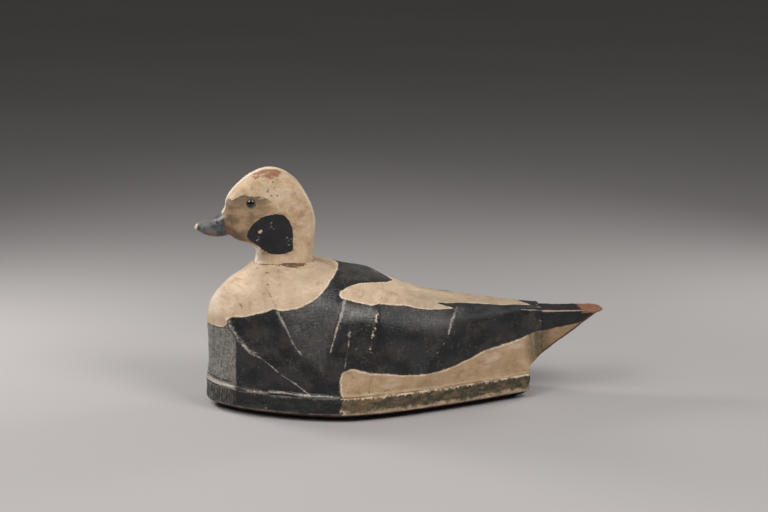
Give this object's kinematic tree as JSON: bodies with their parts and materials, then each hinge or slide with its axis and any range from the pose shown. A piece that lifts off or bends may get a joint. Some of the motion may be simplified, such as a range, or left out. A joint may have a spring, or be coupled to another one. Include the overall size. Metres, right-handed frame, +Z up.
{
  "type": "duck decoy",
  "caption": "Long-tailed duck decoy: painted canvas body on a thick wooden bottom board, with a carved wooden head, glass eyes and a wedge-shaped tail block.",
  "frame": {"origin": "under the middle of the decoy's overall box, on the surface it stands on", "axes": "+X toward the tail, so the bill points to -X; +Y toward the bird's right side; +Z up"},
  "size_m": [0.457, 0.191, 0.2639],
  "materials": {
    "painted_board": "worn matt oil paint",
    "painted_canvas": "worn matt oil paint over canvas",
    "painted_tail": "worn matt oil paint",
    "painted_head": "worn matt oil paint",
    "eye_glass": "polished dark glass"
  },
  "bodies": {
    "root": {"bottom_board": "painted_board", "canvas_body": "painted_canvas", "tail_block": "painted_tail", "head": "painted_head", "eye_left": "eye_glass", "eye_right": "eye_glass"}
  },
  "joints": []
}
